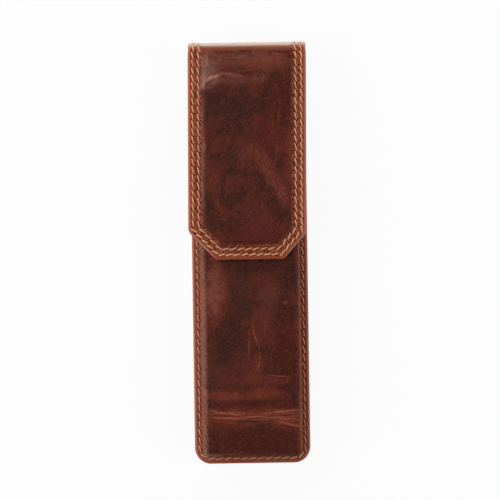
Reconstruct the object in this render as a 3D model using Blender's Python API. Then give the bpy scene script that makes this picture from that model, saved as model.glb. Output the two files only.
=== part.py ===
"""Leather case for two pens, with a flap that folds over its moulded front.

The closed case lies on its back. +X is to the right as seen from the front, +Y runs
towards the top fold and +Z comes out of the front. The back rests on z = 0. Metres.
"""

import math

import bmesh
import bpy
from mathutils import Vector

# Outside of the case
CASE_LENGTH = 0.165
CASE_WIDTH = 0.0458
CORNER_RADIUS = 0.0065
EDGE_ROUND = 0.0004

# Sheets, from the outside in, and the glue line between two of them
LEATHER = 0.0013
BOARD = 0.0008
LINING = 0.0006
FIT = 0.0003

# Moulded front
PEN_ROOM_DEPTH = 0.0125
FLANGE_WIDTH = 0.0034
FLANGE_FILLET = 0.001
WALL_DRAFT = 0.0006
SHOULDER_RADIUS = 0.0022
LEAST_CORNER = 0.0012
MOUTH_SETBACK = 0.006
SCOOP_WIDTH = 0.024
SCOOP_DEPTH = 0.006
BOARD_SETBACK = 0.003

# Divider between the pens
DIVIDER_WALL = 0.001
DIVIDER_FOOT = 0.0006
DIVIDER_FOOT_WIDTH = 0.007
DIVIDER_SETBACK = 0.012
DIVIDER_ROUND = 0.006

# Strip over the top: its folds and its flap
FOLD_RADIUS = 0.003
FLAP_LENGTH = 0.0841
FLAP_SKEW = 0.0009
LEFT_CHAMFER_RUN = 0.0107
LEFT_CHAMFER_RISE = 0.011
RIGHT_CHAMFER_RUN = 0.0087
RIGHT_CHAMFER_RISE = 0.0102
CHAMFER_TOP_ROUND = 0.003
CHAMFER_LOW_ROUND = 0.0006
LINING_TRIM = 0.0004

# Raised field of the flap, drawn over its board
FIELD_MARGIN = 0.0009
FIELD_SLOPE = 0.0016
FIELD_TOP_SETBACK = 0.004

# Seams
STITCH_PITCH = 0.00305
THREAD = 0.0006
THREAD_LIFT = 0.00015
THREAD_GAP = 0.0002
BODY_SEAM_MARGIN = 0.0018
FLAP_SEAM_MARGIN = 0.0021
ROW_SPACING = 0.0022

# Hidden magnets
MAGNET_RADIUS = 0.005
MAGNET_FROM_FLAP_END = 0.015

# Facets and cutters
CORNER_STEPS = 8
SHOULDER_STEPS = 5
FILLET_STEPS = 3
SLOPE_STEPS = 5
ROUND_STEPS = 4
FOLD_STEPS = 4
SCOOP_STEPS = 16
DISC_STEPS = 32
OVERRUN = 0.002

# Heights of the layers, from the back up
FLANGE_LOW = LEATHER + FIT
FLANGE_TOP = FLANGE_LOW + LEATHER
BACK_BOARD_TOP = FLANGE_LOW + BOARD
BACK_LINING_LOW = BACK_BOARD_TOP + FIT
ROOM_FLOOR = BACK_LINING_LOW + LINING
ROOM_CEILING = ROOM_FLOOR + PEN_ROOM_DEPTH
FRONT_LINING_TOP = ROOM_CEILING + LINING
FRONT_BOARD_LOW = FRONT_LINING_TOP + FIT
FRONT_BOARD_TOP = FRONT_BOARD_LOW + BOARD
FRONT_INNER = FRONT_BOARD_TOP + FIT
FRONT_TOP = FRONT_INNER + LEATHER
FLAP_LINING_LOW = FRONT_TOP + FIT
FLAP_LINING_TOP = FLAP_LINING_LOW + LINING
FLAP_INNER = FLAP_LINING_TOP + FIT
FLAP_TOP = FLAP_INNER + LEATHER
FIELD_RISE = BOARD + FIT

# Places along the case
TOP_Y = CASE_LENGTH / 2
BOTTOM_Y = -CASE_LENGTH / 2
FOLD_Y = TOP_Y - FOLD_RADIUS
SPINE_BOARD_Y = TOP_Y - LEATHER - FIT
SPINE_LINING_Y = SPINE_BOARD_Y - BOARD - FIT
SPINE_INNER_Y = SPINE_LINING_Y - LINING
MOUTH_Y = SPINE_INNER_Y - MOUTH_SETBACK
FLAP_END_Y = TOP_Y - FLAP_LENGTH
MAGNET_Y = FLAP_END_Y + MAGNET_FROM_FLAP_END
HALF_WIDTH = CASE_WIDTH / 2
INNER_SEAM_MARGIN = FLAP_SEAM_MARGIN + ROW_SPACING
FIELD_INSET = INNER_SEAM_MARGIN + FIELD_MARGIN

# Each fold is a quarter round of leather, parted on its 45 degree line. The strip bends
# about the point where that line meets its outer face, so the inside opens freely.
HALF_FOLD = math.radians(45)
HINGE_DEPTH = FOLD_RADIUS * (1 - math.cos(HALF_FOLD))
BACK_FOLD_Z = FOLD_RADIUS
FRONT_FOLD_Z = FLAP_TOP - FOLD_RADIUS
PARTING_ANGLE = math.asin(FIT / 2 / (FOLD_RADIUS - LEATHER))
PARTING_STEP = FIT / 2 * math.sqrt(2)


# Scene helpers

def clear_scene():
    for obj in list(bpy.data.objects):
        bpy.data.objects.remove(obj, do_unlink=True)


def make_material(name, colour, roughness, metallic=0.0):
    material = bpy.data.materials.new(name)
    material.use_nodes = True
    shader = material.node_tree.nodes["Principled BSDF"]
    shader.inputs["Base Color"].default_value = (*colour, 1.0)
    shader.inputs["Roughness"].default_value = roughness
    shader.inputs["Metallic"].default_value = metallic
    material.diffuse_color = (*colour, 1.0)
    return material


def make_empty(name, location, parent=None):
    empty = bpy.data.objects.new(name, None)
    bpy.context.collection.objects.link(empty)
    empty.location = location
    if parent:
        hang(empty, parent)
    return empty


def hang(obj, parent):
    """Parents obj without moving it."""
    bpy.context.view_layer.update()
    obj.parent = parent
    obj.matrix_parent_inverse = parent.matrix_world.inverted()


def finish_mesh(name, bm, material, parent):
    bmesh.ops.recalc_face_normals(bm, faces=bm.faces)
    mesh = bpy.data.meshes.new(name)
    bm.to_mesh(mesh)
    bm.free()
    mesh.shade_smooth()
    mesh.set_sharp_from_angle(angle=math.radians(35))
    obj = bpy.data.objects.new(name, mesh)
    bpy.context.collection.objects.link(obj)
    if material:
        mesh.materials.append(material)
    hang(obj, parent)
    return obj


def as_tool(obj):
    """Keeps a cutter, or a piece that is joined to another, out of the model."""
    obj.hide_render = True
    obj.display_type = "WIRE"
    return obj


def combine(obj, tool, operation):
    modifier = obj.modifiers.new(f"{operation.lower()}_{tool.name}", "BOOLEAN")
    modifier.operation = operation
    modifier.solver = "EXACT"
    modifier.object = tool


# Outlines, all counter-clockwise as seen from +Z

def arc(centre, radius, start, end, steps):
    """Points of an arc, both ends included, with its angles in radians."""
    angles = [start + (end - start) * step / steps for step in range(steps + 1)]
    return [centre + Vector((math.cos(a), math.sin(a))) * radius for a in angles]


def pocket_outline(inset, top):
    """Down the left side, round the two lower corners and up the right side."""
    radius = max(CORNER_RADIUS - inset, LEAST_CORNER)
    half = HALF_WIDTH - inset
    low = BOTTOM_Y + inset + radius
    left = Vector((-half + radius, low))
    right = Vector((half - radius, low))
    quarter = math.pi / 2
    points = [Vector((-half, top))]
    points += arc(left, radius, 2 * quarter, 3 * quarter, CORNER_STEPS)
    points += arc(right, radius, -quarter, 0, CORNER_STEPS)
    points.append(Vector((half, top)))
    return points


def skewed(x, y):
    """A point of the flap, whose lower end was cut a little to the left."""
    return Vector((x - FLAP_SKEW * (FOLD_Y - y) / (FOLD_Y - FLAP_END_Y), y))


def flap_corners():
    return [
        skewed(-HALF_WIDTH, FOLD_Y),
        skewed(-HALF_WIDTH, FLAP_END_Y + LEFT_CHAMFER_RISE),
        skewed(-HALF_WIDTH + LEFT_CHAMFER_RUN, FLAP_END_Y),
        skewed(HALF_WIDTH - RIGHT_CHAMFER_RUN, FLAP_END_Y),
        skewed(HALF_WIDTH, FLAP_END_Y + RIGHT_CHAMFER_RISE),
        skewed(HALF_WIDTH, FOLD_Y),
    ]


def crossing(point, along, other, other_along):
    """Where two lines of the plane meet."""
    across = along.cross(other_along)
    return point + along * ((other - point).cross(other_along) / across)


def inset_corners(corners, sides, top):
    """The outline drawn in by one distance on its sides and another on its top edge."""
    lines = []
    for start, end in zip(corners, corners[1:] + corners[:1]):
        along = (end - start).normalized()
        distance = top if end == corners[0] else sides
        lines.append((start + Vector((-along.y, along.x)) * distance, along))
    return [crossing(*before, *after) for before, after in zip(lines[-1:] + lines, lines)]


def rounded(corners, radii):
    """Each corner with a radius becomes an arc that touches both of its sides."""
    points = []
    for index, corner in enumerate(corners):
        radius = radii[index]
        if not radius:
            points.append(corner)
            continue
        back = (corners[index - 1] - corner).normalized()
        ahead = (corners[(index + 1) % len(corners)] - corner).normalized()
        half_angle = back.angle(ahead) / 2
        centre = corner + (back + ahead).normalized() * (radius / math.sin(half_angle))
        reach = radius / math.tan(half_angle)
        first = corner + back * reach - centre
        turn = math.pi - 2 * half_angle
        start = math.atan2(first.y, first.x)
        points += arc(centre, radius, start, start + turn, ROUND_STEPS)
    return points


def flap_outline(sides, top):
    radii = (0, CHAMFER_TOP_ROUND, CHAMFER_LOW_ROUND, CHAMFER_LOW_ROUND, CHAMFER_TOP_ROUND, 0)
    return rounded(inset_corners(flap_corners(), sides, top), radii)


# Solids

def add_loft(bm, sections):
    """One closed body through sections of equal counts, each an outline and its height."""
    rings = [[bm.verts.new((*point, z)) for point in outline] for outline, z in sections]
    for low, high in zip(rings, rings[1:]):
        for index in range(len(low)):
            after = (index + 1) % len(low)
            bm.faces.new((low[index], low[after], high[after], high[index]))
    bm.faces.new(rings[0][::-1])
    bm.faces.new(rings[-1])


def make_loft(name, sections, material, parent):
    bm = bmesh.new()
    add_loft(bm, sections)
    return finish_mesh(name, bm, material, parent)


def make_plate(name, outline, low, high, material, parent):
    return make_loft(name, [(outline, low), (outline, high)], material, parent)


def make_disc(name, x, y, radius, low, high, material, parent):
    outline = arc(Vector((x, y)), radius, 0, 2 * math.pi, DISC_STEPS)[:-1]
    return make_plate(name, outline, low, high, material, parent)


def end_face(bm, direction):
    """The face that looks furthest along a direction."""
    direction = Vector(direction)
    bm.normal_update()
    facing = [face for face in bm.faces if face.normal.dot(direction) > math.cos(HALF_FOLD / 2)]
    return max(facing, key=lambda face: face.calc_center_median().dot(direction))


def turn_fold(bm, face, fold_z, angle):
    """Carries an end face round the fold's centre, up to the parting line."""
    made = bmesh.ops.spin(
        bm, geom=[face], cent=(0, FOLD_Y, fold_z), axis=(1, 0, 0), angle=angle, steps=FOLD_STEPS
    )
    bm.faces.remove(face)
    return [item for item in made["geom_last"] if isinstance(item, bmesh.types.BMFace)]


def soften(bm, parted):
    """Rounds the cut edges of a sheet, leaving the faces where it parts at a fold."""
    kept = {edge for face in parted for edge in face.edges}
    sharp = [e for e in bm.edges if e not in kept and e.calc_face_angle() > HALF_FOLD]
    bmesh.ops.bevel(bm, geom=sharp, offset=EDGE_ROUND, segments=2, profile=0.5, affect="EDGES")


def fold_sheet(name, outline, low, high, fold_z, angle, material, parent):
    """A flat sheet of leather that turns into a fold at its +Y end."""
    bm = bmesh.new()
    add_loft(bm, [(outline, low), (outline, high)])
    bmesh.ops.recalc_face_normals(bm, faces=bm.faces)
    parted = turn_fold(bm, end_face(bm, (0, 1, 0)), fold_z, angle)
    bmesh.ops.recalc_face_normals(bm, faces=bm.faces)
    soften(bm, parted)
    return finish_mesh(name, bm, material, parent)


# Moulded front: every layer follows the same leaning wall

def wall_inset(z):
    """How far in from the case's edge the front's outer wall is at a height."""
    share = (z - FLANGE_TOP) / (FRONT_TOP - FLANGE_TOP)
    return FLANGE_WIDTH + WALL_DRAFT * share


def moulded_sections(inward, low, top, shoulder):
    """A block that leans in as the wall does, with a round shoulder under its top."""
    turn_z = top - shoulder
    inset = wall_inset(turn_z) + inward
    reach = MOUTH_Y + OVERRUN
    sections = [(pocket_outline(wall_inset(low) + inward, reach), low)]
    for step in range(SHOULDER_STEPS + 1):
        angle = math.pi / 2 * step / SHOULDER_STEPS
        drawn_in = inset + shoulder * (1 - math.cos(angle))
        sections.append((pocket_outline(drawn_in, reach), turn_z + shoulder * math.sin(angle)))
    return sections


def flange_sections():
    """The flat flange and the fillet between it and the wall."""
    reach = MOUTH_Y + OVERRUN
    sections = [
        (pocket_outline(0, reach), FLANGE_LOW),
        (pocket_outline(0, reach), FLANGE_TOP - EDGE_ROUND),
        (pocket_outline(EDGE_ROUND, reach), FLANGE_TOP),
    ]
    for step in range(FILLET_STEPS):
        angle = math.pi / 2 * step / FILLET_STEPS
        inset = FLANGE_WIDTH - FLANGE_FILLET * (1 - math.sin(angle))
        height = FLANGE_TOP + FLANGE_FILLET * (1 - math.cos(angle))
        sections.append((pocket_outline(inset, reach), height))
    return sections


def mouth_cutter(name, setback, parent):
    """Trims the mouth end, with a scoop in the middle to reach the pens."""
    line = MOUTH_Y - setback
    wide = HALF_WIDTH + OVERRUN
    points = [Vector((-wide, line))]
    for step in range(SCOOP_STEPS + 1):
        share = 2 * step / SCOOP_STEPS - 1
        dip = SCOOP_DEPTH * (1 + math.cos(math.pi * share)) / 2
        points.append(Vector((share * SCOOP_WIDTH / 2, line - dip)))
    points += [Vector((wide, line)), Vector((wide, TOP_Y)), Vector((-wide, TOP_Y))]
    return as_tool(make_plate(name, points, -OVERRUN, FLAP_TOP, None, parent))


def past_mouth(outline):
    """Moves an open outline's two ends up past the mouth."""
    reach = MOUTH_Y + 2 * OVERRUN
    return [Vector((p.x, reach if p.y > MOUTH_Y else p.y)) for p in outline]


def make_front(case, leather, lining, board, steel):
    moulding = moulded_sections(0, FLANGE_TOP + FLANGE_FILLET, FRONT_TOP, SHOULDER_RADIUS)
    front = make_loft("front_leather", flange_sections() + moulding, leather, case)
    inner_shoulder = SHOULDER_RADIUS - LEATHER
    hollow = moulded_sections(LEATHER, FLANGE_LOW - OVERRUN, FRONT_INNER, inner_shoulder)
    # The hollow runs out past the mouth, so that it stays open there.
    hollow = [(past_mouth(outline), z) for outline, z in hollow]
    combine(front, as_tool(make_loft("front_hollow", hollow, None, case)), "DIFFERENCE")
    mouth = mouth_cutter("mouth_trim", 0, case)
    combine(front, mouth, "DIFFERENCE")

    skin = LEATHER + FIT
    tray = moulded_sections(skin, ROOM_FLOOR + FIT, FRONT_LINING_TOP, inner_shoulder)
    front_lining = make_loft("front_lining", tray, lining, case)
    room_shoulder = inner_shoulder - LINING
    room = moulded_sections(skin + LINING, ROOM_FLOOR - OVERRUN, ROOM_CEILING, room_shoulder)
    room = [(past_mouth(outline), z) for outline, z in room]
    combine(front_lining, as_tool(make_loft("pen_room", room, None, case)), "DIFFERENCE")
    combine(front_lining, mouth, "DIFFERENCE")

    board_inset = wall_inset(FRONT_TOP) + SHOULDER_RADIUS + FIT
    outline = pocket_outline(board_inset, MOUTH_Y + OVERRUN)
    stiffener = make_plate("front_board", outline, FRONT_BOARD_LOW, FRONT_BOARD_TOP, board, case)
    combine(stiffener, mouth_cutter("board_trim", BOARD_SETBACK, case), "DIFFERENCE")
    seat_magnet("front_magnet", stiffener, FRONT_BOARD_LOW, FRONT_BOARD_TOP, steel, case)


def seat_magnet(name, board, low, high, steel, parent):
    """A steel disc let into a hole punched through its board."""
    hole = MAGNET_RADIUS + FIT
    cutter = make_disc(f"{name}_hole", 0, MAGNET_Y, hole, low - OVERRUN, high + OVERRUN, None, parent)
    combine(board, as_tool(cutter), "DIFFERENCE")
    make_disc(name, 0, MAGNET_Y, MAGNET_RADIUS, low, high, steel, parent)


# Back

def make_back(case, leather, lining, board):
    angle = HALF_FOLD - PARTING_ANGLE
    outline = pocket_outline(0, FOLD_Y)
    fold_sheet("back_leather", outline, 0, LEATHER, BACK_FOLD_Z, angle, leather, case)
    inset = FLANGE_WIDTH + LEATHER + FIT
    board_outline = pocket_outline(inset, SPINE_INNER_Y - FIT)
    make_plate("back_board", board_outline, FLANGE_LOW, BACK_BOARD_TOP, board, case)
    top = FOLD_Y + BACK_FOLD_Z - ROOM_FLOOR - PARTING_STEP
    lining_outline = pocket_outline(inset, min(top, SPINE_INNER_Y - FIT))
    make_plate("back_lining", lining_outline, BACK_LINING_LOW, ROOM_FLOOR, lining, case)


def make_divider(case, lining):
    """A wall between the two pens, standing on a foot glued to the back lining."""
    bottom = BOTTOM_Y + wall_inset(FRONT_TOP) + LEATHER + FIT + LINING + FIT
    top = MOUTH_Y - DIVIDER_SETBACK
    low = ROOM_FLOOR + FIT
    high = ROOM_CEILING - FIT
    half_foot = DIVIDER_FOOT_WIDTH / 2
    foot = [(-half_foot, bottom), (half_foot, bottom), (half_foot, top), (-half_foot, top)]
    foot = [Vector(point) for point in foot]
    divider = make_plate("pen_divider", foot, low, low + DIVIDER_FOOT, lining, case)

    wall_low = low + DIVIDER_FOOT / 2
    profile = [Vector((bottom, wall_low)), Vector((top, wall_low))]
    centre = Vector((top - DIVIDER_ROUND, high - DIVIDER_ROUND))
    profile += arc(centre, DIVIDER_ROUND, 0, math.pi / 2, CORNER_STEPS)
    profile.append(Vector((bottom, high)))
    bm = bmesh.new()
    left = [bm.verts.new((-DIVIDER_WALL / 2, point.x, point.y)) for point in profile]
    face = bm.faces.new(left)
    made = bmesh.ops.extrude_face_region(bm, geom=[face])
    moved = [item for item in made["geom"] if isinstance(item, bmesh.types.BMVert)]
    bmesh.ops.translate(bm, verts=moved, vec=(DIVIDER_WALL, 0, 0))
    combine(divider, as_tool(finish_mesh("divider_wall", bm, None, case)), "UNION")


# Spine, the end of the case between the two folds

def box_outline(half, low, high):
    return [Vector(point) for point in ((-half, low), (half, low), (half, high), (-half, high))]


def make_spine(spine, leather, lining, board):
    bm = bmesh.new()
    outline = box_outline(HALF_WIDTH, TOP_Y - LEATHER, TOP_Y)
    add_loft(bm, [(outline, BACK_FOLD_Z), (outline, FRONT_FOLD_Z)])
    bmesh.ops.recalc_face_normals(bm, faces=bm.faces)
    angle = HALF_FOLD - PARTING_ANGLE
    parted = turn_fold(bm, end_face(bm, (0, 0, -1)), BACK_FOLD_Z, -angle)
    bmesh.ops.recalc_face_normals(bm, faces=bm.faces)
    parted += turn_fold(bm, end_face(bm, (0, 0, 1)), FRONT_FOLD_Z, angle)
    bmesh.ops.recalc_face_normals(bm, faces=bm.faces)
    soften(bm, parted)
    finish_mesh("spine_leather", bm, leather, spine)

    outline = box_outline(HALF_WIDTH - FIELD_INSET, SPINE_BOARD_Y - BOARD, SPINE_BOARD_Y)
    low = BACK_FOLD_Z + FIT
    high = FRONT_FOLD_Z - FIT
    make_plate("spine_board", outline, low, high, board, spine)
    # The lining's ends stay on the spine's side of both parting lines.
    outline = box_outline(HALF_WIDTH - LINING_TRIM, SPINE_INNER_Y, SPINE_LINING_Y)
    reach = SPINE_INNER_Y - FOLD_Y - PARTING_STEP
    make_plate("spine_lining", outline, BACK_FOLD_Z - reach, FRONT_FOLD_Z + reach, lining, spine)


# Flap

def make_flap(flap, leather, lining, board, steel):
    angle = PARTING_ANGLE - HALF_FOLD
    outline = flap_outline(0, 0)
    sheet = fold_sheet(
        "flap_leather", outline, FLAP_INNER, FLAP_TOP, FRONT_FOLD_Z, angle, leather, flap
    )
    combine(sheet, as_tool(make_loft("flap_field", field_sections(), None, flap)), "UNION")
    recess_inset = FIELD_INSET + FIELD_SLOPE
    recess_outline = flap_outline(recess_inset, FIELD_TOP_SETBACK + FIELD_SLOPE)
    recess_top = FLAP_INNER + BOARD + FIT
    recess = make_plate(
        "board_recess", recess_outline, FLAP_INNER - OVERRUN, recess_top, None, flap
    )
    combine(sheet, as_tool(recess), "DIFFERENCE")

    board_outline = flap_outline(recess_inset + FIT, FIELD_TOP_SETBACK + FIELD_SLOPE + FIT)
    board_top = FLAP_INNER + BOARD
    stiffener = make_plate("flap_board", board_outline, FLAP_INNER, board_top, board, flap)
    seat_magnet("flap_magnet", stiffener, FLAP_INNER, board_top, steel, flap)

    # The lining's end stays on the flap's side of the parting line.
    lining_end = FRONT_FOLD_Z - FLAP_LINING_LOW + PARTING_STEP
    outline = flap_outline(LINING_TRIM, lining_end)
    make_plate("flap_lining", outline, FLAP_LINING_LOW, FLAP_LINING_TOP, lining, flap)


def field_sections():
    """The leather swells over the board, from the inner seam up to a flat field."""
    root = flap_outline(FIELD_INSET, FIELD_TOP_SETBACK)
    sections = [(root, FLAP_INNER + LEATHER / 2)]
    for step in range(SLOPE_STEPS + 1):
        share = step / SLOPE_STEPS
        drawn_in = FIELD_SLOPE * share
        rise = FIELD_RISE * (1 - math.cos(math.pi * share)) / 2
        outline = flap_outline(FIELD_INSET + drawn_in, FIELD_TOP_SETBACK + drawn_in)
        sections.append((outline, FLAP_TOP + rise))
    return sections


# Seams

def stitched(path):
    """Points at the needle holes and halfway between them, with each one's lift."""
    lengths = [(after - before).length for before, after in zip(path, path[1:])]
    total = sum(lengths)
    stitches = round(total / STITCH_PITCH)
    points = []
    for count in range(2 * stitches + 1):
        left = total * count / (2 * stitches)
        index = 0
        while index < len(lengths) - 1 and left > lengths[index]:
            left -= lengths[index]
            index += 1
        share = min(left / lengths[index], 1)
        points.append((path[index].lerp(path[index + 1], share), THREAD_LIFT * (count % 2)))
    return points


def make_thread(name, points, material, parent):
    """One thread along its points, which are the middle of it."""
    curve = bpy.data.curves.new(name, "CURVE")
    curve.dimensions = "3D"
    curve.bevel_depth = THREAD / 2
    curve.bevel_resolution = 0
    curve.use_fill_caps = True
    spline = curve.splines.new("POLY")
    spline.points.add(len(points) - 1)
    for spot, point in zip(spline.points, points):
        spot.co = (*point, 1)
    curve.materials.append(material)
    obj = bpy.data.objects.new(name, curve)
    bpy.context.collection.objects.link(obj)
    hang(obj, parent)


def seam_on_top(name, path, surface, material, parent):
    """A row of stitches lying on a surface that faces +Z."""
    stand_off = surface + THREAD_GAP + THREAD / 2
    points = [(point.x, point.y, stand_off + lift) for point, lift in stitched(path)]
    make_thread(name, points, material, parent)


def make_seams(case, spine, flap, thread):
    body_path = pocket_outline(BODY_SEAM_MARGIN, MOUTH_Y - BODY_SEAM_MARGIN)
    seam_on_top("body_seam_thread", body_path, FLANGE_TOP, thread, case)
    rows = {"outer": FLAP_SEAM_MARGIN, "inner": INNER_SEAM_MARGIN}
    for row, margin in rows.items():
        path = flap_outline(margin, 0)
        seam_on_top(f"flap_{row}_thread", path, FLAP_TOP, thread, flap)
        for side, sign in (("left", -1), ("right", 1)):
            low = Vector((BACK_FOLD_Z, 0))
            high = Vector((FRONT_FOLD_Z, 0))
            stand_off = TOP_Y + THREAD_GAP + THREAD / 2
            x = sign * (HALF_WIDTH - margin)
            points = [(x, stand_off + lift, spot.x) for spot, lift in stitched([low, high])]
            make_thread(f"spine_{side}_{row}_thread", points, thread, spine)


def main():
    clear_scene()
    leather = make_material("pull_up_leather", (0.085, 0.022, 0.016), 0.42)
    lining = make_material("lining_suede", (0.045, 0.022, 0.014), 0.9)
    board = make_material("fibre_board", (0.32, 0.24, 0.17), 0.85)
    steel = make_material("magnet_steel", (0.55, 0.55, 0.56), 0.35, metallic=1.0)
    thread = make_material("waxed_thread", (0.42, 0.18, 0.07), 0.6)

    # The case stands on its back with the middle of its closed shape over the origin.
    thread_reach = THREAD_GAP + THREAD + THREAD_LIFT
    overhang = -HALF_WIDTH - min(point.x for point in flap_outline(0, 0))
    case = make_empty("case", (0, 0, 0))
    back_fold = make_empty("back_fold", (0, TOP_Y - HINGE_DEPTH, HINGE_DEPTH), case)
    front_fold = make_empty("front_fold", (0, TOP_Y - HINGE_DEPTH, FLAP_TOP - HINGE_DEPTH), back_fold)
    make_back(case, leather, lining, board)
    make_front(case, leather, lining, board, steel)
    make_divider(case, lining)
    make_spine(back_fold, leather, lining, board)
    make_flap(front_fold, leather, lining, board, steel)
    make_seams(case, back_fold, front_fold, thread)
    case.location = (overhang / 2, -thread_reach / 2, 0)


main()
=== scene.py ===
import math
import random

import bmesh
import bpy
import numpy as np
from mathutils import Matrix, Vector, noise


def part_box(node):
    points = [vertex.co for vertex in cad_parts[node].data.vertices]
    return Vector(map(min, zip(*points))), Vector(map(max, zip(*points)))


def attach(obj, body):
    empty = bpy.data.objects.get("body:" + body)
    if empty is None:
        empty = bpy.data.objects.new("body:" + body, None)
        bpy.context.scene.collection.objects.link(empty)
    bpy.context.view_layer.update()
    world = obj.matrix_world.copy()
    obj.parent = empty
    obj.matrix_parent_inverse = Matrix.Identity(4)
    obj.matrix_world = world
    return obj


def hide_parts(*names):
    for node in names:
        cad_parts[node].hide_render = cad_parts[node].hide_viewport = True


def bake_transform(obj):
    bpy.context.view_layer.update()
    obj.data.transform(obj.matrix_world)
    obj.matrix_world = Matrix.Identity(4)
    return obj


# Looks of a leather case for two pens: one folded strip of leather (back, spine and flap) round a
# moulded front. Every sheet is modelled flat, as it is cut, then the strip is folded over the top.
# A flat place is (across, along, height): the height is counted from the sheet's outer face.

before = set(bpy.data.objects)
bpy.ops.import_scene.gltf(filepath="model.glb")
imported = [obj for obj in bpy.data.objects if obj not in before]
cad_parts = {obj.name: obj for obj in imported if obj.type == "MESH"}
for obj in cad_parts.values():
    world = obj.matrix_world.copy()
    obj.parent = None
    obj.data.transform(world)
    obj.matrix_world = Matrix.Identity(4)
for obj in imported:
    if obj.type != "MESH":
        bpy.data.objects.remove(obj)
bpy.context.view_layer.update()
mm = 0.001
random.seed(7)

# Places taken from the frame
trayLow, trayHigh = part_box("front_leather")
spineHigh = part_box("spine_leather")[1]
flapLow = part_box("flap_leather")[0]
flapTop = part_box("flap_board")[1].z + 0.5 * mm
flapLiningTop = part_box("flap_lining")[1].z
backLiningLow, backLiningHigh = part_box("back_lining")
spineLiningLow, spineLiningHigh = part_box("spine_lining")

middle = (trayLow.x + trayHigh.x) / 2
half = (trayHigh.x - trayLow.x) / 2
left, right = middle - half, middle + half
bottom, mouth = trayLow.y, trayHigh.y
foldRadius = 3 * mm
foldY = spineHigh.y - foldRadius
halfTurn = math.pi / 2 * foldRadius
spare = 12 * mm  # every sheet is started this much too long, and trimmed to its length


# Modelling helpers

def deselect():
    if bpy.context.mode != "OBJECT":
        bpy.ops.object.mode_set(mode="OBJECT")
    bpy.ops.object.select_all(action="DESELECT")


def only(*objs):
    deselect()
    for obj in objs:
        obj.select_set(True)
    bpy.context.view_layer.objects.active = objs[0]


def settle(obj):
    only(obj)
    bpy.ops.object.transform_apply(location=True, rotation=True, scale=True)


def addBlock(name, low, high):
    deselect()
    bpy.ops.mesh.primitive_cube_add(size=1, location=(Vector(low) + Vector(high)) / 2)
    obj = bpy.context.object
    obj.name = obj.data.name = name
    obj.scale = Vector(high) - Vector(low)
    settle(obj)
    return obj


def edit(obj):
    only(obj)
    bpy.ops.object.mode_set(mode="EDIT")
    bpy.ops.mesh.select_mode(type="FACE")


def pick(obj, kind, test):
    bpy.ops.mesh.select_mode(type=kind)
    bpy.ops.mesh.select_all(action="DESELECT")
    shape = bmesh.from_edit_mesh(obj.data)
    for part in shape.faces if kind == "FACE" else shape.edges:
        if test(part):
            part.select_set(True)
    bmesh.update_edit_mesh(obj.data)


def pickFaces(obj, up):
    # the sheet's upper face, or its lower one where up is -1
    pick(obj, "FACE", lambda face: face.normal.z * up > 0.9)


def pickEdges(obj, test):
    pick(obj, "EDGE", lambda edge: test(edge.verts[0].co, edge.verts[1].co))


def cut(place, normal, clear=False):
    bpy.ops.mesh.select_all(action="SELECT")
    bpy.ops.mesh.bisect(plane_co=place, plane_no=normal, clear_outer=clear, use_fill=clear, threshold=1e-7)


def cutCorners(corners):
    # cuts a sheet along the slanting sides of its outline
    for start, end in zip(corners[1:], corners[2:-1]):
        along = (end - start).normalized()
        if abs(along.x * along.y) > 0.01:
            cut(start.to_3d(), (along.y, -along.x, 0), clear=True)


def roundUpright(obj, offset, segments, test):
    # rounds the sheet's upright edges that the test finds
    pickEdges(obj, lambda a, b: abs(a.z - b.z) > mm / 4 and test(a, b))
    bpy.ops.mesh.bevel(offset=offset, segments=segments, affect="EDGES", clamp_overlap=False)


def cutGrid(obj, acrossCuts, alongCuts):
    # the last cuts in a flat sheet; gives the places of its points
    for x in acrossCuts:
        cut((x, 0, 0), (1, 0, 0))
    for y in alongCuts:
        cut((0, y, 0), (0, 1, 0))
    bpy.ops.object.mode_set(mode="OBJECT")
    return readPlaces(obj)


def evenly(start, end, spacing):
    count = max(round((end - start) / spacing), 1)
    return [start + (end - start) * step / count for step in range(1, count)]


def cutsInTurn(start, turn, spacing):
    return [start] + evenly(start, start + turn, spacing) + [start + turn]


def insetTo(distances):
    for before, after in zip([0] + distances, distances):
        bpy.ops.mesh.inset(thickness=after - before, depth=0)


def readPlaces(obj):
    places = np.zeros(len(obj.data.vertices) * 3)
    obj.data.vertices.foreach_get("co", places)
    return places.reshape(-1, 3)


def writePlaces(obj, places):
    obj.data.vertices.foreach_set("co", places.ravel())
    obj.data.update()


def mark(obj, name, values):
    kind = "FLOAT_VECTOR" if np.ndim(values) == 2 else "FLOAT"
    found = obj.data.attributes.new(name, kind, "POINT")
    found.data.foreach_set("vector" if kind == "FLOAT_VECTOR" else "value", np.ravel(values))


def shadeSoft(obj, angle=50):
    only(obj)
    bpy.ops.object.shade_smooth_by_angle(angle=math.radians(angle))


def smoothStep(values):
    t = np.clip(values, 0, 1)
    return t * t * (3 - 2 * t)


def noiseAt(places, across, along, seed):
    # soft lumps, across and along in metres for one lump
    return np.array([noise.noise(Vector((p[0] / across, p[1] / along, seed))) for p in places])


# Outlines of the flat sheets, as corners counter-clockwise from the open end's left one

def insetCorners(corners, distance):
    lines = []
    for start, end in zip(corners, corners[1:]):
        along = (end - start).normalized()
        lines.append((start + Vector((-along.y, along.x)) * distance, along))
    points = [lines[0][0]]
    for (first, along), (second, onward) in zip(lines, lines[1:]):
        points.append(first + along * ((second - first).cross(onward) / along.cross(onward)))
    points.append(lines[-1][0] + (corners[-1] - corners[-2]))
    return points


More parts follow.
